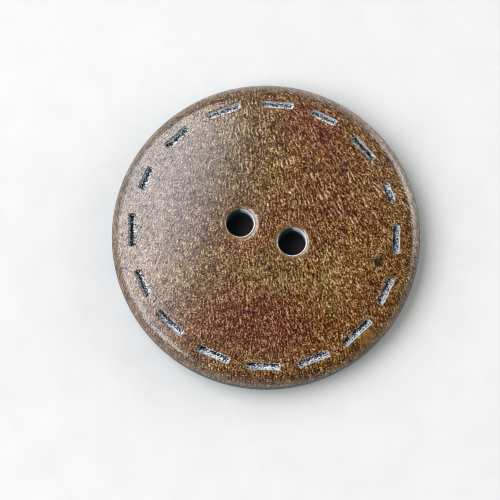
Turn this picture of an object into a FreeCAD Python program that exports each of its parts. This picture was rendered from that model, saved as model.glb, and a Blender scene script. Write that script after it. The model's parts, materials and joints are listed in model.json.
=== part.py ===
import FreeCAD, Part
import math
import os

# Two-hole sew-on button, millimetres. The origin is the centre of the flat back, +Z leaves through
# the face, and +X runs from one sewing hole to the other.

# The whole button
DIAMETER = 28.0              # a 44 ligne coat button
THICKNESS = 3.8              # back to the crown of the face
CROWN_RADIUS = 80.0          # the face is a shallow dome
SHOULDER_RADIUS = 1.3        # rounding from the face into the side
BACK_EDGE_RADIUS = 1.3       # rounding from the side into the back

# The mottled skin bonded to the face
SKIN_THICKNESS = 0.15
SKIN_EDGE_ANGLE = 24.0       # degrees up the shoulder, from its widest point, where the skin ends

# The two sewing holes
HOLE_DIAMETER = 2.5
HOLE_SPACING = 5.0
FACE_LIP_RADIUS = 0.4
BACK_LIP_RADIUS = 0.3

# The ring of recesses cut through the skin, like running stitches
RECESS_WIDTH = 0.65
RECESS_DEPTH = 0.55
RECESS_CORNER_RADIUS = 0.18
FIRST_BEARING = -5.0         # degrees from +X, of the first recess if the ring were even

# Each recess was cut by hand, so it strays a little from an even ring. In order round the ring:
# degrees past its even bearing, distance from the axis, length, and degrees of turn off the tangent.
RECESSES = [
    (-0.9, 12.0, 2.7, 0.0),
    (0.0, 11.8, 2.7, 1.5),
    (-0.9, 11.8, 1.9, 3.5),
    (-0.7, 11.9, 2.8, 1.0),
    (-1.1, 12.0, 2.5, 0.0),
    (-2.6, 12.0, 2.9, 1.0),
    (-1.6, 12.0, 3.1, 2.0),
    (-0.2, 12.0, 2.6, -1.0),
    (-0.3, 12.0, 2.2, 0.0),
    (0.7, 12.1, 3.0, 2.5),
    (2.3, 12.0, 2.6, 0.0),
    (1.0, 11.9, 2.9, 3.5),
    (1.6, 12.0, 3.1, 0.5),
    (1.2, 12.1, 3.1, -1.0),
    (0.5, 12.2, 3.0, 1.0),
    (-0.2, 12.2, 3.3, 1.0),
]

RADIUS = DIAMETER / 2
HOLE_RADIUS = HOLE_DIAMETER / 2
CROWN_CENTRE = THICKNESS - CROWN_RADIUS
SHOULDER_CENTRE_R = RADIUS - SHOULDER_RADIUS
SHOULDER_CENTRE_Z = CROWN_CENTRE + math.sqrt((CROWN_RADIUS - SHOULDER_RADIUS) ** 2 - SHOULDER_CENTRE_R ** 2)
CLEAR = 1.0                  # how far a cutting tool stands out of what it cuts


def at(r, z):
    """A point of a section through the axis."""
    return FreeCAD.Vector(r, 0, z)


def polar(centre, radius, degrees):
    """A point of a section, on a circle about centre; degrees are counted up from the outward radius."""
    angle = math.radians(degrees)
    return centre + at(radius * math.cos(angle), radius * math.sin(angle))


def arc(centre, radius, start, end):
    """An arc of a section about centre, from one angle to another."""
    middle = polar(centre, radius, (start + end) / 2)
    return Part.Arc(polar(centre, radius, start), middle, polar(centre, radius, end)).toShape()


def line(start, end):
    return Part.LineSegment(start, end).toShape()


def turned(edges, axis_x=0.0):
    """The solid that a closed section makes when it turns about an axis along Z."""
    face = Part.Face(Part.Wire(edges))
    return face.revolve(FreeCAD.Vector(axis_x, 0, 0), FreeCAD.Vector(0, 0, 1), 360)


def face_height(r):
    """Height of the crowned face at a distance from the axis."""
    return CROWN_CENTRE + math.sqrt(CROWN_RADIUS ** 2 - r ** 2)


def crown_and_shoulder(inset, edge_angle):
    """Edges of the face from the axis out to the skin's edge, at a depth of inset under the surface."""
    crown_centre = at(0, CROWN_CENTRE)
    shoulder_centre = at(SHOULDER_CENTRE_R, SHOULDER_CENTRE_Z)
    tangent_angle = math.degrees(math.asin((SHOULDER_CENTRE_Z - CROWN_CENTRE) / (CROWN_RADIUS - SHOULDER_RADIUS)))
    crown = arc(crown_centre, CROWN_RADIUS - inset, 90, tangent_angle)
    shoulder = arc(shoulder_centre, SHOULDER_RADIUS - inset, tangent_angle, edge_angle)
    return [crown, shoulder]


def skin_blank():
    """The skin before it is drilled and cut: one even layer over the face and round the shoulder."""
    outer = crown_and_shoulder(0, SKIN_EDGE_ANGLE)
    inner = crown_and_shoulder(SKIN_THICKNESS, SKIN_EDGE_ANGLE)
    shoulder_centre = at(SHOULDER_CENTRE_R, SHOULDER_CENTRE_Z)
    outer_edge = polar(shoulder_centre, SHOULDER_RADIUS, SKIN_EDGE_ANGLE)
    inner_edge = polar(shoulder_centre, SHOULDER_RADIUS - SKIN_THICKNESS, SKIN_EDGE_ANGLE)
    at_axis = line(at(0, THICKNESS), at(0, THICKNESS - SKIN_THICKNESS))
    return turned(outer + [line(outer_edge, inner_edge)] + inner[::-1] + [at_axis])


def core_blank():
    """The body under the skin: its top is the skin's underside, its side and back are bare."""
    shoulder_centre = at(SHOULDER_CENTRE_R, SHOULDER_CENTRE_Z)
    back_edge_centre = at(RADIUS - BACK_EDGE_RADIUS, BACK_EDGE_RADIUS)
    under_skin = crown_and_shoulder(SKIN_THICKNESS, SKIN_EDGE_ANGLE)
    inner_edge = polar(shoulder_centre, SHOULDER_RADIUS - SKIN_THICKNESS, SKIN_EDGE_ANGLE)
    outer_edge = polar(shoulder_centre, SHOULDER_RADIUS, SKIN_EDGE_ANGLE)
    bare_shoulder = arc(shoulder_centre, SHOULDER_RADIUS, SKIN_EDGE_ANGLE, 0)
    side = line(at(RADIUS, SHOULDER_CENTRE_Z), at(RADIUS, BACK_EDGE_RADIUS))
    back_edge = arc(back_edge_centre, BACK_EDGE_RADIUS, 0, -90)
    back = line(at(RADIUS - BACK_EDGE_RADIUS, 0), at(0, 0))
    axis = line(at(0, 0), at(0, THICKNESS - SKIN_THICKNESS))
    return turned(under_skin + [line(inner_edge, outer_edge), bare_shoulder, side, back_edge, back, axis])


def hole_tool(hole_x):
    """What one sewing hole takes away: a straight wall with a rounded lip at the face and at the back."""
    wall_top = face_height(abs(hole_x)) - FACE_LIP_RADIUS
    wall_bottom = BACK_LIP_RADIUS
    face_lip_r = HOLE_RADIUS + FACE_LIP_RADIUS
    back_lip_r = HOLE_RADIUS + BACK_LIP_RADIUS
    top = THICKNESS + CLEAR
    edges = [
        line(at(hole_x, -CLEAR), at(hole_x + back_lip_r, -CLEAR)),
        line(at(hole_x + back_lip_r, -CLEAR), at(hole_x + back_lip_r, 0)),
        arc(at(hole_x + back_lip_r, wall_bottom), BACK_LIP_RADIUS, 270, 180),
        line(at(hole_x + HOLE_RADIUS, wall_bottom), at(hole_x + HOLE_RADIUS, wall_top)),
        arc(at(hole_x + face_lip_r, wall_top), FACE_LIP_RADIUS, 180, 90),
        line(at(hole_x + face_lip_r, wall_top + FACE_LIP_RADIUS), at(hole_x + face_lip_r, top)),
        line(at(hole_x + face_lip_r, top), at(hole_x, top)),
        line(at(hole_x, top), at(hole_x, -CLEAR)),
    ]
    return turned(edges, hole_x)


def recess_tool(index, recess):
    """What one recess takes away: a short slot with rounded corners, square to the face under it."""
    stray, distance, length, turn = recess
    bearing = FIRST_BEARING + index * 360.0 / len(RECESSES) + stray
    height = RECESS_DEPTH + CLEAR
    slot = Part.makeBox(RECESS_WIDTH, length, height, FreeCAD.Vector(-RECESS_WIDTH / 2, -length / 2, -RECESS_DEPTH))
    upright = [edge for edge in slot.Edges if abs(edge.tangentAt(edge.FirstParameter).z) > 0.9]
    slot = slot.makeFillet(RECESS_CORNER_RADIUS, upright)
    slope = math.degrees(math.asin(distance / CROWN_RADIUS))
    slot.rotate(FreeCAD.Vector(0, 0, 0), FreeCAD.Vector(0, 0, 1), turn)
    slot.rotate(FreeCAD.Vector(0, 0, 0), FreeCAD.Vector(0, 1, 0), slope)
    slot.translate(FreeCAD.Vector(distance, 0, face_height(distance)))
    slot.rotate(FreeCAD.Vector(0, 0, 0), FreeCAD.Vector(0, 0, 1), bearing)
    return slot


def cut_away():
    """The tools of both holes and of every recess."""
    holes = [hole_tool(side * HOLE_SPACING / 2) for side in (-1, 1)]
    recesses = [recess_tool(index, recess) for index, recess in enumerate(RECESSES)]
    return holes + recesses


def save(node, shape):
    """Write one node as its own STEP, after a check that it is a single sound solid."""
    if len(shape.Solids) != 1 or not shape.isValid():
        raise ValueError(node + " is not one valid solid")
    solid = shape.Solids[0]
    solid.exportStep("parts/" + node + ".step")
    box = solid.BoundBox
    print(node, "volume", round(solid.Volume, 2), "height", round(box.ZMin, 3), round(box.ZMax, 3))


os.makedirs("parts", exist_ok=True)
tools = cut_away()
save("core", core_blank().cut(tools))
save("face_skin", skin_blank().cut(tools))
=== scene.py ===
import json
import math

import bmesh
import bpy
import numpy as np
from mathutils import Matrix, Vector, noise
from mathutils.geometry import delaunay_2d_cdt


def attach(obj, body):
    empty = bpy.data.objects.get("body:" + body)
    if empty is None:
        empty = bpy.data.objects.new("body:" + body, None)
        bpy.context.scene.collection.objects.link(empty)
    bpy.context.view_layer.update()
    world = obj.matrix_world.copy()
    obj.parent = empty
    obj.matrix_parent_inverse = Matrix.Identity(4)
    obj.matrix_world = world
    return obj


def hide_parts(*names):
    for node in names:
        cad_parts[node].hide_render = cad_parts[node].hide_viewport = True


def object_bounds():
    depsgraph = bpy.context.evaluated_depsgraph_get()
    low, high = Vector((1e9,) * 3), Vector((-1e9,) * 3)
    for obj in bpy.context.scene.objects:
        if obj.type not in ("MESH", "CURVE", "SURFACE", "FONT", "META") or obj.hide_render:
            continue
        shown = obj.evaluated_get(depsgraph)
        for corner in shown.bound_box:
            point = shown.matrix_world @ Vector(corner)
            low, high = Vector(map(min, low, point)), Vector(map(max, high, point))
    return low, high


# A two-hole sew-on button: a mottled brown skin over a blue-grey core, with a ring of short recesses
# cut through the skin. Shapes are worked out in millimetres and stored in metres.
MM = 0.001

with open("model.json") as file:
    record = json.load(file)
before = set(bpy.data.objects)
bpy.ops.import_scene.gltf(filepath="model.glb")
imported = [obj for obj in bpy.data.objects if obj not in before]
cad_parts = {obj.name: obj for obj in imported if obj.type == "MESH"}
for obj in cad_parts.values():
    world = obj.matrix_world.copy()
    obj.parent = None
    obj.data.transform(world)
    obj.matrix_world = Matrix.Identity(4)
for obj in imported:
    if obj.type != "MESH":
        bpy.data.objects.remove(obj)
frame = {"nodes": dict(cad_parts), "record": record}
CAD_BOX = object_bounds()

# ---------------------------------------------------------------- sizes, in millimetres

RADIUS = (CAD_BOX[1].x - CAD_BOX[0].x) / 2 / MM
THICKNESS = (CAD_BOX[1].z - CAD_BOX[0].z) / MM
HOLES = [mount for mount in frame["record"]["mounts"] if mount["kind"] == "bore"]
HOLE_CENTRES = [(mount["pos_m"][0] / MM, mount["pos_m"][1] / MM) for mount in HOLES]
HOLE_RADIUS = HOLES[0]["dims"]["r_mm"]

CROWN_RADIUS = 80.0           # the shallow dome of the face
SHOULDER_RADIUS = 1.3         # face into side
BACK_EDGE_RADIUS = 1.3        # side into back
SKIN_THICKNESS = 0.15
SKIN_EDGE_TILT = math.radians(69)   # how far the surface has turned over where the skin ends
FACE_LIP_WIDTH = 0.45         # the lip round each sewing hole dishes in softly and ends tight
FACE_LIP_DEPTH = 0.30
FACE_LIP_SHIFT = 0.04         # the lip was cut a little off the bore's axis
FACE_LIP_BEARING = math.radians(-10)
BACK_LIP_RADIUS = 0.30
RECESS_DEPTH = 0.55
RECESS_CORNER = 0.14          # nearly square in the photograph, so tighter than the CAD's corner

CROWN_CENTRE_Z = THICKNESS - CROWN_RADIUS
SHOULDER_CENTRE_R = RADIUS - SHOULDER_RADIUS
CROWN_TILT = math.asin(SHOULDER_CENTRE_R / (CROWN_RADIUS - SHOULDER_RADIUS))
SHOULDER_CENTRE_Z = CROWN_CENTRE_Z + (CROWN_RADIUS - SHOULDER_RADIUS) * math.cos(CROWN_TILT)
CROWN_RUN = CROWN_RADIUS * CROWN_TILT
SKIN_RUN = CROWN_RUN + SHOULDER_RADIUS * (SKIN_EDGE_TILT - CROWN_TILT)

# ---------------------------------------------------------------- the turned surface


def on_surface(run, bearing, depth=0.0):
    """The point a given run along the face from the axis, at a bearing, and a depth under the surface."""
    if run <= CROWN_RUN:
        tilt = run / CROWN_RADIUS
        r = CROWN_RADIUS * math.sin(tilt)
        z = CROWN_CENTRE_Z + CROWN_RADIUS * math.cos(tilt)
    else:
        tilt = CROWN_TILT + (run - CROWN_RUN) / SHOULDER_RADIUS
        r = SHOULDER_CENTRE_R + SHOULDER_RADIUS * math.sin(tilt)
        z = SHOULDER_CENTRE_Z + SHOULDER_RADIUS * math.cos(tilt)
    r -= depth * math.sin(tilt)
    z -= depth * math.cos(tilt)
    return Vector((r * math.cos(bearing), r * math.sin(bearing), z))


def flat_to_surface(flat, depth=0.0):
    """A point of the unrolled face, whose distance from the origin is its run, put on the button."""
    run = math.hypot(flat[0], flat[1])
    bearing = math.atan2(flat[1], flat[0])
    edge = SKIN_RUN + skin_edge_stray(bearing)
    if run > CROWN_RUN:
        run = CROWN_RUN + (run - CROWN_RUN) * (edge - CROWN_RUN) / (SKIN_RUN - CROWN_RUN)
    return on_surface(run, bearing, depth)


def plan_to_flat(x, y):
    """A point seen from above, on the crown, in the unrolled face."""
    r = math.hypot(x, y)
    stretch = CROWN_RADIUS * math.asin(r / CROWN_RADIUS) / r
    return (x * stretch, y * stretch)


def plan_to_surface(x, y, depth=0.0):
    return flat_to_surface(plan_to_flat(x, y), depth)


def skin_edge_stray(bearing):
    """The skin's lower edge wanders, because it ends where the blank was turned."""
    wander = noise.noise(Vector((1.3 * math.cos(bearing), 1.3 * math.sin(bearing), 4.0)))
    return 0.10 * wander + 0.07 * math.cos(bearing - math.radians(205))


# ---------------------------------------------------------------- the recesses, found in the frame

UPRIGHT = 0.3                 # a CAD face is a wall if its normal rises or falls by less than this
RECESS_RING = (0.72 * RADIUS, 0.95 * RADIUS)
RECESS_GAP = 4.0              # degrees: a wider gap round the axis parts one recess from the next
CORNER_STEPS = 6              # straight pieces in the quarter turn of a recess's corner
OUTLINE_PITCH = 0.07          # between points along a recess's edge
BROAD_STRAY = 0.045           # how far an edge strays along its length
FINE_STRAY = 0.022            # and within a short stretch of it


def recess_plans():
    """Centre, direction, length and width of each recess, read from the upright walls of the CAD skin."""
    mesh = frame["nodes"]["face_skin"].data
    nearest, farthest = RECESS_RING
    found = set()
    for face in mesh.polygons:
        middle = face.center / MM
        if abs(face.normal.z) < UPRIGHT and nearest < math.hypot(middle.x, middle.y) < farthest:
            found.update(face.vertices)
    points = np.array([mesh.vertices[i].co.xy for i in found]) / MM
    bearings = np.degrees(np.arctan2(points[:, 1], points[:, 0]))
    order = np.argsort(bearings)
    points, bearings = points[order], bearings[order]
    gaps = np.flatnonzero(np.diff(bearings) > RECESS_GAP) + 1
    groups = np.split(points, gaps)
    if bearings[0] + 360 - bearings[-1] < RECESS_GAP:
        groups[0] = np.concatenate([groups.pop(), groups[0]])
    plans = []
    for group in groups:
        _, axes = np.linalg.eigh(np.cov((group - group.mean(0)).T))
        along, across = axes[:, 1], axes[:, 0]
        u, v = group @ along, group @ across
        centre = along * (u.min() + u.max()) / 2 + across * (v.min() + v.max()) / 2
        plans.append({"centre": centre, "along": along, "across": across,
                      "length": np.ptp(u), "width": np.ptp(v)})
    return plans


def rounded_rectangle(half_l, half_w, corner):
    """Points round a rectangle with rounded corners, each with its outward direction."""
    path = []
    corners = [(1, 1, 0), (-1, 1, 90), (-1, -1, 180), (1, -1, 270)]
    for sx, sy, start in corners:
        for step in range(CORNER_STEPS + 1):
            angle = math.radians(start + step * 90 / CORNER_STEPS)
            normal = (math.cos(angle), math.sin(angle))
            at = (sx * (half_l - corner) + corner * normal[0], sy * (half_w - corner) + corner * normal[1])
            path.append((at, normal))
    return path


def recess_outline(plan, grow, seed):
    """The outline of one recess seen from above: a rounded rectangle whose edges were cut by hand."""
    path = rounded_rectangle(plan["length"] / 2, plan["width"] / 2, RECESS_CORNER)
    points = []
    for index, (at, normal) in enumerate(path):
        following, next_normal = path[(index + 1) % len(path)]
        span = math.dist(at, following)
        pieces = max(1, round(span / OUTLINE_PITCH))
        for k in range(pieces):
            t = k / pieces
            x = at[0] + (following[0] - at[0]) * t
            y = at[1] + (following[1] - at[1]) * t
            nx = normal[0] + (next_normal[0] - normal[0]) * t
            ny = normal[1] + (next_normal[1] - normal[1]) * t
            broad = noise.noise(Vector((x * 1.4, y * 2.0, seed)))
            fine = noise.noise(Vector((x * 7, y * 7, seed)))
            away = grow + (BROAD_STRAY * broad + FINE_STRAY * fine)
            x += nx * away
            y += ny * away
            spot = plan["centre"] + plan["along"] * x + plan["across"] * y
            points.append((float(spot[0]), float(spot[1])))
    return points


# ---------------------------------------------------------------- mesh building

SHARP_ANGLE = math.radians(38)  # an edge that turns by more than this is shaded sharp
MERGE_DISTANCE = 1e-8           # metres
CDT_TOLERANCE = 1e-7            # points of a flat layout nearer than this, in millimetres, become one
SLIVER_AREA = 1e-9              # square millimetres: a triangle with twice its area under this is dropped


class Shell:
    """Collects points and faces, and makes one closed mesh object of them."""

    def __init__(self):
        self.points = []
        self.faces = []

    def add(self, points):
        first = len(self.points)
        self.points.extend(Vector(point) for point in points)
        return list(range(first, first + len(points)))

    def strip(self, ring_a, ring_b):
        """Faces between two closed rings with the same number of points."""
        count = len(ring_a)
        for i in range(count):
            j = (i + 1) % count
            self.faces.append((ring_a[i], ring_a[j], ring_b[j], ring_b[i]))

    def strips(self, rings):
        for ring_a, ring_b in zip(rings, rings[1:]):
            self.strip(ring_a, ring_b)

    def make(self, name):
        mesh = bpy.data.meshes.new(name)
        mesh.from_pydata([point * MM for point in self.points], [], self.faces)
        work = bmesh.new()
        work.from_mesh(mesh)
        bmesh.ops.remove_doubles(work, verts=work.verts, dist=MERGE_DISTANCE)
        bmesh.ops.recalc_face_normals(work, faces=work.faces)
        open_edges = sum(1 for edge in work.edges if len(edge.link_faces) != 2)
        work.to_mesh(mesh)
        work.free()
        mesh.shade_smooth()
        mesh.set_sharp_from_angle(angle=SHARP_ANGLE)
        print(name, "faces", len(mesh.polygons), "open edges", open_edges)
        piece = bpy.data.objects.new(name, mesh)
        bpy.context.scene.collection.objects.link(piece)
        return piece


def inside(point, loop):
    """Whether a flat point lies inside a closed loop."""
    x, y = point
    hit = False
    for (x0, y0), (x1, y1) in zip(loop, loop[1:] + loop[:1]):
        if (y0 > y) != (y1 > y) and x < (x1 - x0) * (y - y0) / (y1 - y0) + x0:
            hit = not hit
    return hit


def fill(points, loops, windows):
    """Triangles over flat points. Loops are runs of indexes that stay edges; no face fills a window loop."""
    edges = []
    owner = {}
    for number, loop in enumerate(loops):
        edges.extend(zip(loop, loop[1:] + loop[:1]))
        for index in loop:
            owner[index] = number
    coords = [Vector(point) for point in points]
    _, _, faces, sources, _, _ = delaunay_2d_cdt(coords, edges, [], 0, CDT_TOLERANCE)
    source = [ids[0] for ids in sources]
    outlines = {number: [points[i] for i in loops[number]] for number in windows}
    kept = []
    for face in faces:
        corners = [source[i] for i in face]
        owners = {owner.get(i) for i in corners}
        number = owners.pop() if len(owners) == 1 else None
        if number in outlines:
            middle = np.mean([points[i] for i in corners], axis=0)
            if inside(middle, outlines[number]):
                continue
        (ax, ay), (bx, by), (cx, cy) = (points[i] for i in corners)
        if abs((bx - ax) * (cy - ay) - (cx - ax) * (by - ay)) > SLIVER_AREA:
            kept.append(tuple(corners))
    return kept


def circle(centre, radius, count):
    turns = [2 * math.pi * k / count for k in range(count)]
    return [(centre[0] + radius * math.cos(turn), centre[1] + radius * math.sin(turn)) for turn in turns]


def near_any(point, keep_clear):
    """Whether a flat point is too near a loop that has its own points. Each loop to keep clear of is given
    as its centre, its direction, and its reach along and across that direction."""
    for centre, along, reach, width in keep_clear:
        dx, dy = point[0] - centre[0], point[1] - centre[1]
        u = dx * along[0] + dy * along[1]
        v = -dx * along[1] + dy * along[0]
        if abs(u) < reach and abs(v) < width:
            return True
    return False


RECESSES = recess_plans()
HOLE_SIDES = 96
RIM_SIDES = 300
LIP_STEPS = 12
SKIN_LIP_STEPS = 8            # of the lip's steps, those that the skin covers
LIP_SHIFT_RISE = 5            # how fast the lip's shift off the axis comes in, going up from the bore
SHOULDER_STEPS = 8
BACK_EDGE_STEPS = 16
BORE_STEPS = 24
BACK_LIP_STEPS = 6

# the face's own points lie in rings, and further rings follow each hole and recess closely
FACE_PITCH = 0.3              # from one ring to the next
FACE_SPACING = 0.32           # along a ring
RING_TURN = 2.4               # radians from one ring's start to the next's, so that points don't line up
SHOULDER_ROWS = 16
CROWN_MARGIN = 0.05           # the crown's rings stop this far short of the shoulder
NEAR_SHOULDER = 0.1           # a ring within this of the shoulder has as many points as the rim
LIP_GUARDS = ((0.10, 80), (0.24, 64))   # rings round a hole's lip: how far beyond it, and how many points
RECESS_GUARDS = (0.12, 0.24)  # outlines round a recess: how far beyond it
CLEARANCE = 0.36              # the face's own points keep this far from lips and recesses
BACK_PITCH = 0.5              # the same for the back
BACK_SPACING = 0.6
BACK_RIM_CLEARANCE = 0.2
BACK_LIP_CLEARANCE = 0.15
FEWEST_POINTS = 6             # in the smallest rings

# how a recess wall goes down: outline growth and depth at each level, the skin's part and the core's
SKIN_WALL = [(0.045, 0.0), (0.022, 0.004), (0.006, 0.018), (-0.002, 0.045), (-0.006, SKIN_THICKNESS)]
CORE_WALL = [(-0.006, SKIN_THICKNESS), (-0.014, 0.26), (-0.024, 0.37), (-0.038, 0.46), (-0.060, 0.52)]
WALL_ROUGHNESS = 0.02
CUTTER_BEARING = math.radians(142)  # the cutter leaned: every cut shifts towards this bearing as it goes down
CUTTER_SLANT = 0.06           # the shift at the full depth
FLOOR_LEAN = 0.085            # how much deeper the floor is a quarter of its width that way
FLOOR_END_INSET = 0.20        # the floor's own points keep this far from the recess's ends
FLOOR_SIDE_INSET = 0.17       # and this far from its sides
FLOOR_PITCH = 0.05
FLOOR_JITTER = 0.4            # how far a floor point strays, as a share of the pitch
BROAD_TEAR = 0.07             # how far the cutter tore the floor up and down
FINE_TEAR = 0.05
BROAD_RELIEF = 0.004          # how far the face swells and sinks
FINE_RELIEF = 0.002
RELIEF_FADE = 1.5             # the relief dies away over this run, up to the skin's edge
CHATTER = 0.012               # how far the drill's marks stray from a true bore


def face_layout():
    """Flat points of the whole face, its loops, and its triangles with the holes and recesses left open."""
    points = []
    loops = []
    keep_clear = []
    rim = circle((0, 0), SKIN_RUN, RIM_SIDES)
    loops.append(list(range(len(rim))))
    points.extend(rim)
    for centre in HOLE_CENTRES:
        loop = circle(centre, HOLE_RADIUS + FACE_LIP_WIDTH, HOLE_SIDES)
        loops.append(list(range(len(points), len(points) + len(loop))))
        points.extend(plan_to_flat(x, y) for x, y in loop)
        for extra, count in LIP_GUARDS:
            ring = circle(centre, HOLE_RADIUS + FACE_LIP_WIDTH + extra, count)
            points.extend(plan_to_flat(x, y) for x, y in ring)
        reach = HOLE_RADIUS + FACE_LIP_WIDTH + CLEARANCE
        keep_clear.append((centre, (1, 0), reach, reach))
    for number, plan in enumerate(RECESSES):
        outline = recess_outline(plan, SKIN_WALL[0][0], number)
        loops.append(list(range(len(points), len(points) + len(outline))))
        points.extend(plan_to_flat(x, y) for x, y in outline)
        for grow in RECESS_GUARDS:
            points.extend(plan_to_flat(x, y) for x, y in recess_outline(plan, grow, number)[::2])
        flat_centre = plan_to_flat(*plan["centre"])
        reach = plan["length"] / 2 + CLEARANCE
        width = plan["width"] / 2 + CLEARANCE
        keep_clear.append((flat_centre, plan["along"], reach, width))
    crown_runs = np.arange(FACE_PITCH, CROWN_RUN - CROWN_MARGIN, FACE_PITCH)
    shoulder_runs = np.linspace(CROWN_RUN, SKIN_RUN, SHOULDER_ROWS)[:-1]
    for row, run in enumerate([*crown_runs, *shoulder_runs]):
        if run > CROWN_RUN - NEAR_SHOULDER:
            count = RIM_SIDES
        else:
            count = max(FEWEST_POINTS, round(2 * math.pi * run / FACE_SPACING))
        turn = 0.0 if count == RIM_SIDES else row * RING_TURN
        for k in range(count):
            bearing = turn + 2 * math.pi * k / count
            point = (run * math.cos(bearing), run * math.sin(bearing))
            if not near_any(point, keep_clear):
                points.append(point)
    windows = list(range(1, len(loops)))
    return points, loops, fill(points, loops, windows)


def lip_ring(centre, step):
    """One ring of the soft lip round a sewing hole, from the face (step 0) down to the straight wall."""
    angle = math.pi / 2 * step / LIP_STEPS
    width = FACE_LIP_WIDTH * (1 - math.sin(angle))
    depth = FACE_LIP_DEPTH * (1 - math.cos(angle))
    level = plan_to_surface(*centre).z
    share = width / FACE_LIP_WIDTH
    shift = FACE_LIP_SHIFT * min(1, LIP_SHIFT_RISE * share) * (1 - share)
    middle = (centre[0] + shift * math.cos(FACE_LIP_BEARING), centre[1] + shift * math.sin(FACE_LIP_BEARING))
    ring = []
    for x, y in circle(middle, HOLE_RADIUS + width, HOLE_SIDES):
        top = plan_to_surface(x, y)
        ring.append((top.x, top.y, top.z * share + level * (1 - share) - depth))
    return ring


FACE_POINTS, FACE_LOOPS, FACE_TRIANGLES = face_layout()
HOLE_LOOPS = FACE_LOOPS[1:1 + len(HOLE_CENTRES)]
RECESS_LOOPS = FACE_LOOPS[1 + len(HOLE_CENTRES):]


def relief(point):
    """The face is not quite true: it swells and sinks by a few microns, as a polished natural blank does."""
    broad = noise.noise(point * 0.35)
    fine = noise.noise(point * 1.1 + Vector((7, 0, 0)))
    return BROAD_RELIEF * broad + FINE_RELIEF * fine


def wall_ring(plan, number, level):
    grow, depth = level
    return [plan_to_surface(x, y, depth) for x, y in recess_outline(plan, grow, number)]


def slanted_outline(plan, number, level):
    """A recess outline below the skin, moved the way the cutter leaned."""
    grow, depth = level
    shift = CUTTER_SLANT * (depth - SKIN_THICKNESS) / (RECESS_DEPTH - SKIN_THICKNESS)
    dx, dy = shift * math.cos(CUTTER_BEARING), shift * math.sin(CUTTER_BEARING)
    return [(x + dx, y + dy) for x, y in recess_outline(plan, grow, number)]


def edge_ring(beyond, depth):
    """A ring near the skin's lower edge, a given run past it."""
    ring = []
    for k in range(RIM_SIDES):
        bearing = 2 * math.pi * k / RIM_SIDES
        ring.append(on_surface(SKIN_RUN + skin_edge_stray(bearing) + beyond, bearing, depth))
    return ring


def underside(loop_rings):
    """The points of the face's layout under the skin; a loop's points are those its walls end on."""
    points = [flat_to_surface(flat, SKIN_THICKNESS) for flat in FACE_POINTS]
    for loop, ring in loop_rings:
        for index, point in zip(loop, ring):
            points[index] = Vector(point)
    return points


# how each layer ends there: run past the skin's edge, and depth
SKIN_EDGE = [(0.0, 0.0), (0.012, 0.008), (0.018, 0.03), (0.018, SKIN_THICKNESS)]
CORE_LEDGE = [(0.020, 0.03), (0.026, 0.010), (0.040, 0.0)]
LOOP_ENDS = [(FACE_LOOPS[0], edge_ring(*SKIN_EDGE[-1]))]
LOOP_ENDS += [(loop, lip_ring(centre, SKIN_LIP_STEPS)) for loop, centre in zip(HOLE_LOOPS, HOLE_CENTRES)]
LOOP_ENDS += [(loop, wall_ring(plan, number, SKIN_WALL[-1]))
              for number, (loop, plan) in enumerate(zip(RECESS_LOOPS, RECESSES))]


def build_skin():
    """The mottled skin: its face, the eased edges of its slots, its hole lips, lower edge and underside."""
    shell = Shell()
    surface = [flat_to_surface(flat) for flat in FACE_POINTS]
    surface = [point + Vector((0, 0, relief(point))) * min(1, (SKIN_RUN - math.hypot(*flat)) / RELIEF_FADE)
               for point, flat in zip(surface, FACE_POINTS)]
    top = shell.add(surface)
    under = shell.add(underside(LOOP_ENDS))
    shell.faces += [tuple(top[i] for i in face) for face in FACE_TRIANGLES]
    shell.faces += [tuple(under[i] for i in face) for face in FACE_TRIANGLES]
    rings = [shell.add(edge_ring(*level)) for level in SKIN_EDGE[1:-1]]
    shell.strips([[top[i] for i in FACE_LOOPS[0]]] + rings + [[under[i] for i in FACE_LOOPS[0]]])
    for loop, centre in zip(HOLE_LOOPS, HOLE_CENTRES):
        rings = [shell.add(lip_ring(centre, step)) for step in range(1, SKIN_LIP_STEPS)]
        shell.strips([[top[i] for i in loop]] + rings + [[under[i] for i in loop]])
    for number, (loop, plan) in enumerate(zip(RECESS_LOOPS, RECESSES)):
        rings = [shell.add(wall_ring(plan, number, level)) for level in SKIN_WALL[1:-1]]
        shell.strips([[top[i] for i in loop]] + rings + [[under[i] for i in loop]])
    return shell.make("button_skin")


def recess_floor(shell, plan, number, last_ring, last_outline):
    """The rough floor of one recess, torn up by the cutter, joined to the wall's last ring."""
    flat = list(last_outline)
    border = list(range(len(flat)))
    half_l = plan["length"] / 2 - FLOOR_END_INSET
    half_w = plan["width"] / 2 - FLOOR_SIDE_INSET
    pitch = FLOOR_PITCH
    for i in range(int(2 * half_l / pitch) + 1):
        for j in range(int(2 * half_w / pitch) + 1):
            jitter = noise.noise_vector(Vector((i * 1.7, j * 1.3, number)))
            x = -half_l + i * pitch + FLOOR_JITTER * pitch * jitter.x
            y = -half_w + j * pitch + FLOOR_JITTER * pitch * jitter.y
            spot = plan["centre"] + plan["along"] * x + plan["across"] * y
            flat.append((float(spot[0]), float(spot[1])))
    triangles = fill(flat, [border], [])
    across = plan["across"]
    deep_side = math.copysign(1, across[0] * math.cos(CUTTER_BEARING) + across[1] * math.sin(CUTTER_BEARING))
    inner = []
    for x, y in flat[len(border):]:
        place = Vector((x, y, number))
        tear = BROAD_TEAR * noise.noise(place * 3.4) + FINE_TEAR * noise.noise(place * 8.0)
        offset = float(np.dot((x, y) - plan["centre"], across)) * deep_side
        lean = FLOOR_LEAN * offset / (plan["width"] / 4)
        inner.append(plan_to_surface(x, y, RECESS_DEPTH + tear + lean))
    indexes = last_ring + shell.add(inner)
    for face in triangles:
        middle = np.mean([flat[i] for i in face], axis=0)
        if inside(middle, last_outline):
            shell.faces.append(tuple(indexes[i] for i in face))


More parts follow.
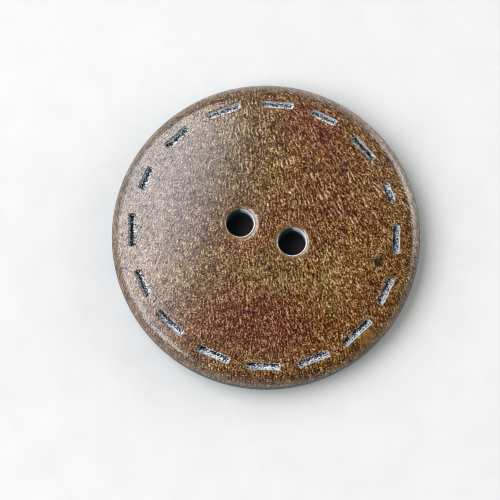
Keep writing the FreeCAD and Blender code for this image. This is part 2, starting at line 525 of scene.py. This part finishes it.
def back_layout():
    """Flat points and triangles of the back, with both holes left open."""
    rim = circle((0, 0), RADIUS - BACK_EDGE_RADIUS, RIM_SIDES)
    points = list(rim)
    loops = [list(range(len(rim)))]
    for centre in HOLE_CENTRES:
        loop = circle(centre, HOLE_RADIUS + BACK_LIP_RADIUS, HOLE_SIDES)
        loops.append(list(range(len(points), len(points) + len(loop))))
        points.extend(loop)
    clear = HOLE_RADIUS + BACK_LIP_RADIUS + BACK_LIP_CLEARANCE
    for r in np.arange(BACK_PITCH, RADIUS - BACK_EDGE_RADIUS - BACK_RIM_CLEARANCE, BACK_PITCH):
        count = max(FEWEST_POINTS, round(2 * math.pi * r / BACK_SPACING))
        for point in circle((0, 0), r, count):
            if all(math.dist(point, centre) > clear for centre in HOLE_CENTRES):
                points.append(point)
    return points, loops, fill(points, loops, [1, 2])


def side_rings(shell):
    """Rings from the skin's lower edge over the shoulder, down the side and round to the back."""
    rings = [shell.add(edge_ring(*level)) for level in CORE_LEDGE]
    finish = CROWN_RUN + SHOULDER_RADIUS * (math.pi / 2 - CROWN_TILT)
    for step in range(1, SHOULDER_STEPS + 1):
        ring = []
        for k in range(RIM_SIDES):
            bearing = 2 * math.pi * k / RIM_SIDES
            start = SKIN_RUN + skin_edge_stray(bearing) + CORE_LEDGE[-1][0]
            ring.append(on_surface(start + (finish - start) * step / SHOULDER_STEPS, bearing))
        rings.append(shell.add(ring))
    for step in range(BACK_EDGE_STEPS):
        angle = math.pi / 2 * step / BACK_EDGE_STEPS
        r = RADIUS - BACK_EDGE_RADIUS + BACK_EDGE_RADIUS * math.cos(angle)
        z = BACK_EDGE_RADIUS * (1 - math.sin(angle))
        rings.append(shell.add([(x, y, z) for x, y in circle((0, 0), r, RIM_SIDES)]))
    return rings


def bore_rings(shell, centre):
    """Rings down one sewing hole: its lip below the skin, its drilled wall and its lip at the back."""
    rings = [shell.add(lip_ring(centre, step)) for step in range(SKIN_LIP_STEPS + 1, LIP_STEPS + 1)]
    wall_top = plan_to_surface(*centre).z - FACE_LIP_DEPTH
    for step in range(1, BORE_STEPS + 1):
        z = wall_top + (BACK_LIP_RADIUS - wall_top) * step / BORE_STEPS
        ring = []
        for x, y in circle(centre, HOLE_RADIUS, HOLE_SIDES):
            mark = CHATTER * noise.noise(Vector((x * 2, y * 2, z * 5)))
            scale = 1 + mark / HOLE_RADIUS
            ring.append((centre[0] + (x - centre[0]) * scale, centre[1] + (y - centre[1]) * scale, z))
        rings.append(shell.add(ring))
    for step in range(1, BACK_LIP_STEPS):
        angle = math.pi / 2 * step / BACK_LIP_STEPS
        r = HOLE_RADIUS + BACK_LIP_RADIUS * (1 - math.cos(angle))
        z = BACK_LIP_RADIUS * (1 - math.sin(angle))
        rings.append(shell.add([(x, y, z) for x, y in circle(centre, r, HOLE_SIDES)]))
    return rings


def cut_rings(shell, plan, number):
    """Rings down the wall of one recess, below the skin."""
    rings = []
    for level in CORE_WALL[1:]:
        ring = []
        for x, y in slanted_outline(plan, number, level):
            depth = level[1] + WALL_ROUGHNESS * noise.noise(Vector((x * 8, y * 8, level[1] * 9)))
            ring.append(plan_to_surface(x, y, depth))
        rings.append(shell.add(ring))
    return rings


def build_core():
    """The body: turned side and back, drilled holes, and the torn floors of the recesses."""
    shell = Shell()
    top = shell.add(underside(LOOP_ENDS))
    shell.faces += [tuple(top[i] for i in face) for face in FACE_TRIANGLES]
    back_points, back_loops, back_faces = back_layout()
    back = shell.add([(x, y, 0) for x, y in back_points])
    shell.faces += [tuple(back[i] for i in face) for face in back_faces]
    back_rim = [back[i] for i in back_loops[0]]
    shell.strips([[top[i] for i in FACE_LOOPS[0]]] + side_rings(shell) + [back_rim])
    for loop, back_loop, centre in zip(HOLE_LOOPS, back_loops[1:], HOLE_CENTRES):
        back_mouth = [back[i] for i in back_loop]
        shell.strips([[top[i] for i in loop]] + bore_rings(shell, centre) + [back_mouth])
    for number, (loop, plan) in enumerate(zip(RECESS_LOOPS, RECESSES)):
        rings = cut_rings(shell, plan, number)
        shell.strips([[top[i] for i in loop]] + rings)
        recess_floor(shell, plan, number, rings[-1], slanted_outline(plan, number, CORE_WALL[-1]))
    return shell.make("button_core")


skin = build_skin()
core = build_core()


# ---------------------------------------------------------------- materials


def srgb(red, green, blue):
    """A colour given as eight-bit display values, in linear light."""
    channels = [value / 255 for value in (red, green, blue)]
    return tuple(c / 12.92 if c <= 0.04045 else ((c + 0.055) / 1.055) ** 2.4 for c in channels)


class Graph:
    """One material's nodes. Most methods return an output socket; where one is asked for, a plain number
    or triple may stand for it."""

    def __init__(self, name):
        self.material = bpy.data.materials.new(name)
        self.material.use_nodes = True
        self.nodes = self.material.node_tree.nodes
        self.links = self.material.node_tree.links
        self.shader = self.nodes["Principled BSDF"]
        where = self.nodes.new("ShaderNodeTexCoord").outputs["Object"]
        self.place = self.vector("SCALE", where, Scale=1 / MM)

    def put(self, socket, value):
        if isinstance(value, bpy.types.NodeSocket):
            self.links.new(value, socket)
        else:
            socket.default_value = value

    def set(self, name, value):
        """Give one of the shader's own sockets a value or a link."""
        if isinstance(value, tuple) and len(value) == 3 and self.shader.inputs[name].type == "RGBA":
            value = (*value, 1)
        self.put(self.shader.inputs[name], value)

    def vector(self, operation, a, b=None, **named):
        node = self.nodes.new("ShaderNodeVectorMath")
        node.operation = operation
        self.put(node.inputs[0], a)
        if b is not None:
            self.put(node.inputs[1], b)
        for name, value in named.items():
            self.put(node.inputs[name], value)
        gives_number = operation in ("LENGTH", "DOT_PRODUCT")
        return node.outputs["Value" if gives_number else "Vector"]

    def math(self, operation, a, b=None, c=None):
        node = self.nodes.new("ShaderNodeMath")
        node.operation = operation
        for socket, value in zip(node.inputs, (a, b, c)):
            if value is not None:
                self.put(socket, value)
        return node.outputs["Value"]

    def total(self, start, *terms):
        """start plus each (socket, weight), the socket taken as a departure from one half."""
        result = start
        for socket, weight in terms:
            result = self.math("ADD", result, self.math("MULTIPLY_ADD", socket, weight, -0.5 * weight))
        return result

    def noise(self, vector, scale, detail=0.0, roughness=0.5, colour=False):
        node = self.nodes.new("ShaderNodeTexNoise")
        self.put(node.inputs["Vector"], vector)
        node.inputs["Scale"].default_value = scale
        node.inputs["Detail"].default_value = detail
        node.inputs["Roughness"].default_value = roughness
        return node.outputs["Color" if colour else "Fac"]

    def gabor(self, vector, scale, frequency, anisotropy, orientation):
        node = self.nodes.new("ShaderNodeTexGabor")
        node.gabor_type = "2D"
        self.put(node.inputs["Vector"], vector)
        node.inputs["Scale"].default_value = scale
        node.inputs["Frequency"].default_value = frequency
        node.inputs["Anisotropy"].default_value = anisotropy
        self.put(node.inputs[4], orientation)
        return node.outputs["Value"]

    def between(self, value, low, high, start=0.0, end=1.0):
        """Smoothly carries value from low..high to start..end, and stops at the ends."""
        node = self.nodes.new("ShaderNodeMapRange")
        node.interpolation_type = "SMOOTHSTEP"
        self.put(node.inputs["Value"], value)
        node.inputs["From Min"].default_value = low
        node.inputs["From Max"].default_value = high
        node.inputs["To Min"].default_value = start
        node.inputs["To Max"].default_value = end
        return node.outputs["Result"]

    def ramp(self, value, stops):
        node = self.nodes.new("ShaderNodeValToRGB")
        self.put(node.inputs["Fac"], value)
        elements = node.color_ramp.elements
        while len(elements) < len(stops):
            elements.new(0.5)
        for element, (position, colour) in zip(elements, stops):
            element.position = position
            element.color = (*colour, 1)
        return node.outputs["Color"]

    def mix(self, share, first, second):
        """The first colour where share is nought, and the second where it is one."""
        node = self.nodes.new("ShaderNodeMix")
        node.data_type = "RGBA"
        self.put(node.inputs["Factor"], share)
        for name, value in (("A", first), ("B", second)):
            socket = next(s for s in node.inputs if s.name == name and s.type == "RGBA")
            self.put(socket, (*value, 1) if isinstance(value, tuple) else value)
        return next(s for s in node.outputs if s.type == "RGBA")

    def bump(self, height, distance):
        node = self.nodes.new("ShaderNodeBump")
        node.inputs["Distance"].default_value = distance * MM
        self.put(node.inputs["Height"], height)
        self.put(self.shader.inputs["Normal"], node.outputs["Normal"])

    def from_axis(self, centre=(0, 0)):
        """Distance from an upright axis, which is the button's own unless a centre is given."""
        offset = self.vector("SUBTRACT", self.place, (centre[0], centre[1], 0))
        return self.vector("LENGTH", self.vector("MULTIPLY", offset, (1, 1, 0)))

    def spot(self, centre, radius, blur, stretch=(1, 1), turn=0.0):
        """One inside a soft-edged round or oval patch on the face, nought outside."""
        c, s = math.cos(math.radians(turn)), math.sin(math.radians(turn))
        offset = self.vector("SUBTRACT", self.place, (centre[0], centre[1], 0))
        u = self.vector("DOT_PRODUCT", offset, (c / stretch[0], s / stretch[0], 0))
        v = self.vector("DOT_PRODUCT", offset, (-s / stretch[1], c / stretch[1], 0))
        away = self.math("SQRT", self.math("ADD", self.math("MULTIPLY", u, u), self.math("MULTIPLY", v, v)))
        return self.between(away, radius - blur, radius + blur, 1.0, 0.0)


GRAIN_CENTRE = (-9.5, 18.9, 0)      # the grain of the skin fans out from a point beyond its edge
MAROON = [(0.0, srgb(47, 8, 2)), (0.25, srgb(71, 21, 4)), (0.5, srgb(111, 53, 9)), (0.7, srgb(150, 97, 52)),
          (1.0, srgb(208, 170, 134))]
GOLD = [(0.0, srgb(39, 19, 1)), (0.25, srgb(67, 39, 3)), (0.5, srgb(106, 76, 9)), (0.7, srgb(144, 115, 51)),
        (1.0, srgb(206, 184, 130))]
ASHEN = [(0.0, srgb(26, 18, 20)), (0.25, srgb(50, 40, 38)), (0.5, srgb(88, 75, 66)),
         (0.7, srgb(132, 118, 108)), (1.0, srgb(210, 200, 192))]
# Patches of the skin that differ: centre, radius, blur, stretch, turn, change of tone, change towards gold
PATCHES = [((0.6, 11.0), 2.2, 1.4, (1.3, 1.0), 0, -0.03, -0.7),
           ((1.6, -8.4), 2.3, 1.6, (2.2, 1.0), 20, -0.07, -0.8),
           ((7.2, -1.5), 2.2, 1.6, (1.0, 1.0), 0, 0.05, 0.5),
           ((1.3, -2.8), 2.0, 1.5, (1.6, 1.0), 20, 0.02, 0.4),
           ((-4.4, 6.6), 3.4, 2.0, (1.0, 1.5), 20, 0.03, 0.5)]
# Small marks: centre, radius, blur, stretch, turn, share, colour
MARKS = [((10.4, 1.0), 0.40, 0.18, (1.0, 1.15), 20, 0.9, srgb(36, 21, 11)),
         ((-8.47, 2.65), 0.05, 0.03, (14.0, 1.0), -71, 0.6, srgb(60, 40, 30)),
         ((-12.0, -3.8), 0.06, 0.04, (11.0, 1.0), 107, 0.7, srgb(128, 52, 36)),
         ((11.7, -5.7), 0.8, 0.5, (1.0, 1.0), 0, 0.4, srgb(138, 106, 44)),
         ((0.8, 4.15), 0.07, 0.03, (1.6, 1.0), -50, 0.9, srgb(236, 230, 224)),
         ((-0.7, 2.4), 0.07, 0.03, (1.8, 1.0), -60, 0.9, srgb(236, 230, 224)),
         ((3.7, 10.9), 0.06, 0.03, (1.0, 1.0), 0, 0.8, srgb(220, 214, 210)),
         ((11.1, 8.0), 0.06, 0.03, (1.0, 1.0), 0, 0.8, srgb(236, 230, 224))]
DULL_CENTRE = (15.0, -5.0)           # this side of the face has lost much of its polish
DULLING = 0.65
GREYED_SHEEN_CENTRE = (-10.0, 2.0)          # the flecks are greyer and fainter on this side, partly the skin's own colour and partly painted sheen where the window's reflection lies
GREYED_SHEEN_SHARE = 0.55
# Distances from the axis over which the skin changes
SHADED_SHOULDER = (12.6, 13.2)
ROUGHER_RIM = (13.0, 13.7)
WORN_EDGE = (13.7, 13.95)
# A gold-brown ring round each sewing hole: where it ends and is full, measured from the hole's axis
HOLE_RING = (1.9, 1.45)
HOLE_RING_SHARE = 0.45
HOLE_RING_COLOUR = srgb(118, 84, 38)
# Where the grain shows as bright streaks a few flecks long, partly the skin's grain and partly painted sheen
# on its ridges: centre, radius, blur
GRAIN_SHEEN_ZONES = [((-3.8, 7.0), 4.6, 2.2), ((5.4, 6.2), 4.6, 2.2)]
GRAIN_SHEEN_STRENGTH = 1.25


def skin_material():
    """Dark maroon brown, thick with tan and gold flecks that follow the grain, under a semi-gloss polish."""
    g = Graph("mottled_skin")
    stir = g.vector("SUBTRACT", g.noise(g.place, scale=1.4, detail=2.0, colour=True), (0.5, 0.5, 0.5))
    stirred = g.vector("ADD", g.place, g.vector("SCALE", stir, Scale=0.5))
    offset = g.nodes.new("ShaderNodeSeparateXYZ")
    g.links.new(g.vector("SUBTRACT", g.place, GRAIN_CENTRE), offset.inputs[0])
    heading = g.math("ARCTAN2", offset.outputs["Y"], offset.outputs["X"])
    across = g.math("ADD", heading, math.pi / 2)
    grain = g.gabor(stirred, scale=2.9, frequency=1.3, anisotropy=0.85, orientation=across)
    fleck = g.noise(stirred, scale=8.0, detail=2.0, roughness=0.7)
    clump = g.noise(stirred, scale=2.4, detail=1.0)
    grit = g.noise(g.place, scale=13.0, detail=1.0)
    cloud = g.noise(g.place, scale=0.5, detail=2.0)
    tone = g.total(0.455, (grain, 1.0), (fleck, 2.3), (clump, 0.9), (grit, 1.1), (cloud, 0.3))
    broad_hue = g.noise(g.place, scale=0.35, detail=3.0, roughness=0.6)
    fleck_hue = g.noise(stirred, scale=7.0, detail=1.0)
    hue = g.total(0.5, (broad_hue, 1.8), (fleck_hue, 4.8))

    # bright streaks along the grain: partly its own colour, partly painted sheen on its ridges
    grain_sheen = g.gabor(stirred, scale=1.0, frequency=2.4, anisotropy=0.95, orientation=across)
    grain_sheen = g.math("SUBTRACT", g.math("MAXIMUM", grain_sheen, 0.5), 0.55)
    for centre, radius, blur in GRAIN_SHEEN_ZONES:
        strength = g.math("MULTIPLY", g.spot(centre, radius, blur), GRAIN_SHEEN_STRENGTH)
        tone = g.math("ADD", tone, g.math("MULTIPLY", grain_sheen, strength))
    for centre, radius, blur, stretch, turn, tone_shift, hue_shift in PATCHES:
        patch = g.spot(centre, radius, blur, stretch, turn)
        tone = g.math("MULTIPLY_ADD", patch, tone_shift, tone)
        hue = g.math("MULTIPLY_ADD", patch, hue_shift, hue)
    r = g.from_axis()
    polish = g.between(tone, 0.1, 0.3, start=0.35, end=1.0)
    polish = g.math("MULTIPLY", polish, g.between(tone, 0.5, 1.0, start=1.0, end=0.75))
    polish = g.math("MULTIPLY", polish, g.between(r, *WORN_EDGE, start=1.0, end=0.7))
    dulled = g.spot(DULL_CENTRE, radius=9.5, blur=3.5)
    polish = g.math("MULTIPLY", polish, g.math("MULTIPLY_ADD", dulled, -DULLING, 1.0))
    shoulder = g.between(r, *SHADED_SHOULDER)
    tone = g.math("MULTIPLY_ADD", shoulder, -0.1, tone)
    hue = g.math("MULTIPLY_ADD", shoulder, 0.3, hue)

    colour = g.mix(hue, g.ramp(tone, MAROON), g.ramp(tone, GOLD))
    ash = g.between(g.noise(g.place, scale=6.0, detail=1.0), 0.45, 0.75, start=0.0, end=0.8)
    colour = g.mix(ash, colour, g.ramp(tone, ASHEN))
    # partly painted sheen: greyer, fainter flecks on the side where the window's reflection lies
    greyed_sheen_colour = g.ramp(g.math("MULTIPLY_ADD", tone, 0.5, 0.22), ASHEN)
    greyed_sheen_side = g.spot(GREYED_SHEEN_CENTRE, radius=6.0, blur=4.0)
    colour = g.mix(g.math("MULTIPLY", greyed_sheen_side, GREYED_SHEEN_SHARE), colour, greyed_sheen_colour)
    for centre, radius, blur, stretch, turn, share, mark in MARKS:
        colour = g.mix(g.math("MULTIPLY", g.spot(centre, radius, blur, stretch, turn), share), colour, mark)
    for centre in HOLE_CENTRES:
        ringed = g.between(g.from_axis(centre), *HOLE_RING, start=0.0, end=HOLE_RING_SHARE)
        colour = g.mix(ringed, colour, HOLE_RING_COLOUR)
    g.set("Base Color", colour)
    g.set("Roughness", g.between(r, *ROUGHER_RIM, start=0.2, end=0.32))
    g.set("Specular IOR Level", polish)
    g.set("Coat Weight", polish)
    g.set("Coat Roughness", g.between(r, *ROUGHER_RIM, start=0.12, end=0.3))
    g.bump(g.total(0.5, (grain, 1.0), (fleck, 1.0)), distance=0.003)
    return g.material


# Painted light and shade on some recess floors, lighter or darker than the rest: centre, radius, blur, change
# of tone
CUT_LIGHT_AND_SHADE = [((-11.2, -3.5), 2.0, 0.5, -0.35), ((-9.0, -7.6), 1.6, 0.5, -0.1), ((-5.0, 10.3), 6.0, 1.5, 0.2),
             ((11.4, 2.6), 1.8, 0.5, -0.25), ((9.9, -5.6), 1.8, 0.5, -0.1),
             ((9.5, 6.9), 1.5, 0.5, -0.3), ((6.7, 9.6), 1.9, 0.5, -0.22)]
HIGHLIT_SIDE = (0.98, -0.17, 0)        # the side of each sewing hole whose lip edge gets a painted highlight
LIT_PATCH_SIDE = (0.42, 0.91, 0)       # the side of each bore whose wall gets a painted lit patch
# Distances from the axis: the core shows only in the recesses between the first two, and only in the
# sewing holes inside the third
CUTS_START = (9.5, 10.0)
CUTS_END = (13.55, 13.45)
BORES_END = (5.0, 4.5)
OWN_BORE = (2.2, 2.1)               # how far one bore's colours reach from its own axis
# Depths under the face, in millimetres
WALL_TOP = (0.34, 0.24)             # painted shade: a recess's wall is pale above this depth and darker below it
FLOOR_START = (0.40, 0.50)
FLOOR_SHADE = (0.46, 0.64)          # painted shade: the floor darkens as it gets deeper
HIGHLIT_LIP_DEPTH = (0.42, 0.34)
LIT_PATCH_DEPTH = (1.6, 1.4)


def cut_colour(g, depth, speck, blotch):
    """The core in the recesses as the cutter left it, torn floors and all, with painted shade: walls pale at
    the top, floors darker as they get deeper.
    """
    # painted shade: the floor's tone falls as it gets deeper
    floor_tone = g.total(g.between(depth, *FLOOR_SHADE, start=0.95, end=0.0), (speck, 5.5), (blotch, 1.2))
    # painted light and shade on chosen recess floors
    for centre, radius, blur, shift in CUT_LIGHT_AND_SHADE:
        floor_tone = g.math("MULTIPLY_ADD", g.spot(centre, radius, blur), shift, floor_tone)
    floor_colour = g.ramp(floor_tone,
                          [(0.0, srgb(4, 8, 10)), (0.22, srgb(34, 46, 50)), (0.45, srgb(126, 140, 148)),
                           (0.68, srgb(192, 198, 212)), (0.9, srgb(255, 255, 255))])
    wall_colour = g.ramp(g.total(0.55, (speck, 3.0), (blotch, 1.0)),
                         [(0.0, srgb(56, 72, 74)), (0.5, srgb(146, 166, 170)), (1.0, srgb(236, 244, 248))])
    # painted shade: the wall is pale near its top
    wall_colour = g.mix(g.between(depth, *WALL_TOP), wall_colour, srgb(226, 231, 234))
    return g.mix(g.between(depth, *FLOOR_START), wall_colour, floor_colour)


def bore_colour(g, depth, smooth_tone):
    """The core inside the sewing holes, with a painted highlight on one side of each bore's lip and a painted
    lit patch on its wall.
    """
    bored = g.ramp(smooth_tone,
                   [(0.0, srgb(44, 60, 58)), (0.5, srgb(74, 94, 92)), (1.0, srgb(116, 136, 134))])
    lip = g.between(depth, *HIGHLIT_LIP_DEPTH)
    for centre in HOLE_CENTRES:
        offset = g.vector("SUBTRACT", g.place, (centre[0], centre[1], 0))
        near = g.between(g.from_axis(centre), *OWN_BORE)
        # painted highlight: the lip's edge is near-white on the side towards the window
        highlit = g.between(g.vector("DOT_PRODUCT", offset, HIGHLIT_SIDE), -0.3, 0.4)
        highlit = g.math("MULTIPLY", g.math("MULTIPLY", lip, near), highlit)
        bored = g.mix(highlit, bored, srgb(246, 243, 242))
        # painted light: a pale patch on one side of the bore's upper wall, where the window would light it
        lit_patch = g.between(g.vector("DOT_PRODUCT", offset, LIT_PATCH_SIDE), 0.84, 1.06)
        lit_patch = g.math("MULTIPLY", lit_patch, g.between(depth, *LIT_PATCH_DEPTH))
        bored = g.mix(g.math("MULTIPLY", lit_patch, near), bored, srgb(226, 226, 236))
    return bored


def core_material():
    """Blue-grey body: matt and broken in the cuts, turned smooth on the side and the back."""
    g = Graph("blue_grey_core")
    xyz = g.nodes.new("ShaderNodeSeparateXYZ")
    g.links.new(g.place, xyz.inputs[0])
    r = g.from_axis()
    sink = g.math("MULTIPLY", g.math("MULTIPLY", r, r), -0.5 / CROWN_RADIUS)
    depth = g.math("SUBTRACT", g.math("ADD", sink, THICKNESS), xyz.outputs["Z"])
    cut = g.math("MULTIPLY", g.between(r, *CUTS_START), g.between(r, *CUTS_END))
    speck = g.noise(g.place, scale=8.0, detail=1.0, roughness=0.8)
    blotch = g.noise(g.place, scale=2.6, detail=1.0)
    broad = g.noise(g.place, scale=1.2, detail=2.0)
    smooth_tone = g.total(0.5, (speck, 0.8), (broad, 0.8))
    turned = g.ramp(smooth_tone,
                    [(0.0, srgb(30, 44, 42)), (0.5, srgb(54, 72, 70)), (1.0, srgb(88, 110, 108))])
    turned = g.mix(g.between(r, *BORES_END), turned, bore_colour(g, depth, smooth_tone))
    g.set("Base Color", g.mix(cut, turned, cut_colour(g, depth, speck, blotch)))
    g.set("Roughness", g.between(cut, 0.0, 1.0, start=0.45, end=0.5))
    g.bump(speck, distance=0.02)
    return g.material


PAPER_SHADED = (8.0, 10.0)          # painted shade: the paper is dark inside the first distance from the axis


def paper_material():
    """White paper, with painted shade right under the button, so that the sewing holes look deep."""
    g = Graph("white_paper")
    fibre = g.noise(g.place, scale=0.25, detail=4.0, roughness=0.6)
    paper = g.ramp(fibre, [(0.3, srgb(223, 223, 222)), (0.7, srgb(228, 228, 227))])
    r = g.from_axis()
    g.set("Base Color", g.mix(g.between(r, *PAPER_SHADED), srgb(86, 82, 84), paper))
    g.set("Roughness", 0.9)
    g.set("Specular IOR Level", 0.1)
    return g.material


skin.data.materials.append(skin_material())
core.data.materials.append(core_material())

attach(skin, "root")
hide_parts("face_skin")
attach(core, "root")
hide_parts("core")

# ---------------------------------------------------------------- floor, light and camera

FLOOR_REACH = 0.6             # metres
FLOOR_DROP = 0.00001          # metres: the paper lies just under the button, and doesn't touch it
floor_mesh = bpy.data.meshes.new("floor")
floor_corners = [(-FLOOR_REACH, -FLOOR_REACH), (FLOOR_REACH, -FLOOR_REACH),
                 (FLOOR_REACH, FLOOR_REACH), (-FLOOR_REACH, FLOOR_REACH)]
floor_mesh.from_pydata([(x, y, -FLOOR_DROP) for x, y in floor_corners], [], [(0, 1, 2, 3)])
floor = bpy.data.objects.new("floor", floor_mesh)
bpy.context.scene.collection.objects.link(floor)
floor.data.materials.append(paper_material())

CAMERA_AZIMUTH = math.radians(20)
CAMERA_ELEVATION = math.radians(80)
CAMERA_DISTANCE = 300.0
FIELD_WIDTH = 45.4            # what the picture's width covers at the height of the rim
RIM_HEIGHT = 1.5
AIM_RIGHT = -1.45              # the button sits a little right of and above the picture's middle
AIM_UP = -0.97

back_axis = Vector((math.sin(CAMERA_AZIMUTH) * math.cos(CAMERA_ELEVATION),
                    -math.cos(CAMERA_AZIMUTH) * math.cos(CAMERA_ELEVATION),
                    math.sin(CAMERA_ELEVATION)))
right_axis = Vector((math.cos(CAMERA_AZIMUTH), math.sin(CAMERA_AZIMUTH), 0))
up_axis = back_axis.cross(right_axis)


def in_view(right, up, towards):
    """A place given along the camera's own axes from the origin, in millimetres."""
    return (right_axis * right + up_axis * up + back_axis * towards) * MM


camera_data = bpy.data.cameras.new("camera")
camera_data.sensor_width = 36
camera_data.lens = camera_data.sensor_width * (CAMERA_DISTANCE - RIM_HEIGHT) / FIELD_WIDTH
camera_data.clip_start = 0.01
camera_data.clip_end = 10
camera = bpy.data.objects.new("camera", camera_data)
camera.location = in_view(AIM_RIGHT, AIM_UP, CAMERA_DISTANCE)
camera.rotation_euler = back_axis.to_track_quat("Z", "Y").to_euler()
bpy.context.scene.collection.objects.link(camera)
bpy.context.scene.camera = camera


def softbox(name, side, lean, slide, size, radiance, colour=(1, 1, 1), distance=600.0):
    """A flat light facing the button. side turns it round the picture from its right, lean tips it off the
    vertical, slide moves it sideways in its own plane, and size is its width and its height."""
    bearing = math.radians(side) + CAMERA_AZIMUTH
    off = math.radians(lean)
    direction = Vector((math.sin(off) * math.cos(bearing), math.sin(off) * math.sin(bearing), math.cos(off)))
    sideways = Vector((math.sin(bearing), -math.cos(bearing), 0))
    data = bpy.data.lights.new(name, "AREA")
    data.shape = "RECTANGLE"
    data.size = size[0] * MM
    data.size_y = size[1] * MM
    data.energy = radiance * math.pi * data.size * data.size_y
    data.color = colour
    lamp = bpy.data.objects.new(name, data)
    lamp.location = (direction * distance + sideways * slide) * MM
    lamp.rotation_euler = direction.to_track_quat("Z", "Y").to_euler()
    bpy.context.scene.collection.objects.link(lamp)


ROOM_TINT = (1.02, 1.0, 0.97)
DIMMED_FROM = 0.2             # cosines of the angle from the dark side between which the room dims
DIMMED_TO = 0.9


def room(overhead, side, horizon, dark_side, dark_level):
    """Light from the rest of the room: darker overhead than at the sides, with a pale band along the horizon.
    It falls to dark_level towards dark_side, an angle round the picture from its right."""
    world = bpy.data.worlds.new("room")
    world.use_nodes = True
    nodes, links = world.node_tree.nodes, world.node_tree.links
    split = nodes.new("ShaderNodeSeparateXYZ")
    direction = nodes.new("ShaderNodeTexCoord").outputs["Generated"]
    links.new(direction, split.inputs[0])
    fade = nodes.new("ShaderNodeValToRGB")
    fade.color_ramp.interpolation = "EASE"
    elements = fade.color_ramp.elements
    while len(elements) < 4:
        elements.new(0.5)
    levels = ((0.03, horizon), (0.09, side), (0.3, side), (1.0, overhead))
    for element, (height, level) in zip(elements, levels):
        element.position = height
        element.color = (*(level * tint for tint in ROOM_TINT), 1)
    links.new(split.outputs["Z"], fade.inputs["Fac"])
    links.new(fade.outputs["Color"], nodes["Background"].inputs["Color"])
    bearing = math.radians(dark_side) + CAMERA_AZIMUTH
    facing = nodes.new("ShaderNodeVectorMath")
    facing.operation = "DOT_PRODUCT"
    links.new(direction, facing.inputs[0])
    facing.inputs[1].default_value = (math.cos(bearing), math.sin(bearing), 0)
    dimming = nodes.new("ShaderNodeMapRange")
    dimming.inputs["From Min"].default_value = DIMMED_FROM
    dimming.inputs["From Max"].default_value = DIMMED_TO
    dimming.inputs["To Min"].default_value = 1.0
    dimming.inputs["To Max"].default_value = dark_level
    links.new(facing.outputs["Value"], dimming.inputs["Value"])
    links.new(dimming.outputs["Result"], nodes["Background"].inputs["Strength"])
    bpy.context.scene.world = world


DAYLIGHT = (0.97, 0.98, 1.02)
softbox("window", side=163, lean=34.5, slide=-80, size=(840, 378), radiance=3.6, colour=DAYLIGHT)
softbox("window_edge", side=163, lean=14.6, slide=0, size=(600, 50), radiance=1.8, colour=DAYLIGHT)
softbox("window_low", side=170, lean=60, slide=0, size=(800, 260), radiance=1.8, colour=DAYLIGHT)
softbox("far_wall", side=20, lean=74, slide=0, size=(620, 360), radiance=2.4)
room(overhead=0.06, side=0.88, horizon=0.9, dark_side=-60, dark_level=0.4)
bpy.context.scene.view_settings.view_transform = "Standard"
bpy.context.scene.cycles.filter_width = 1.0
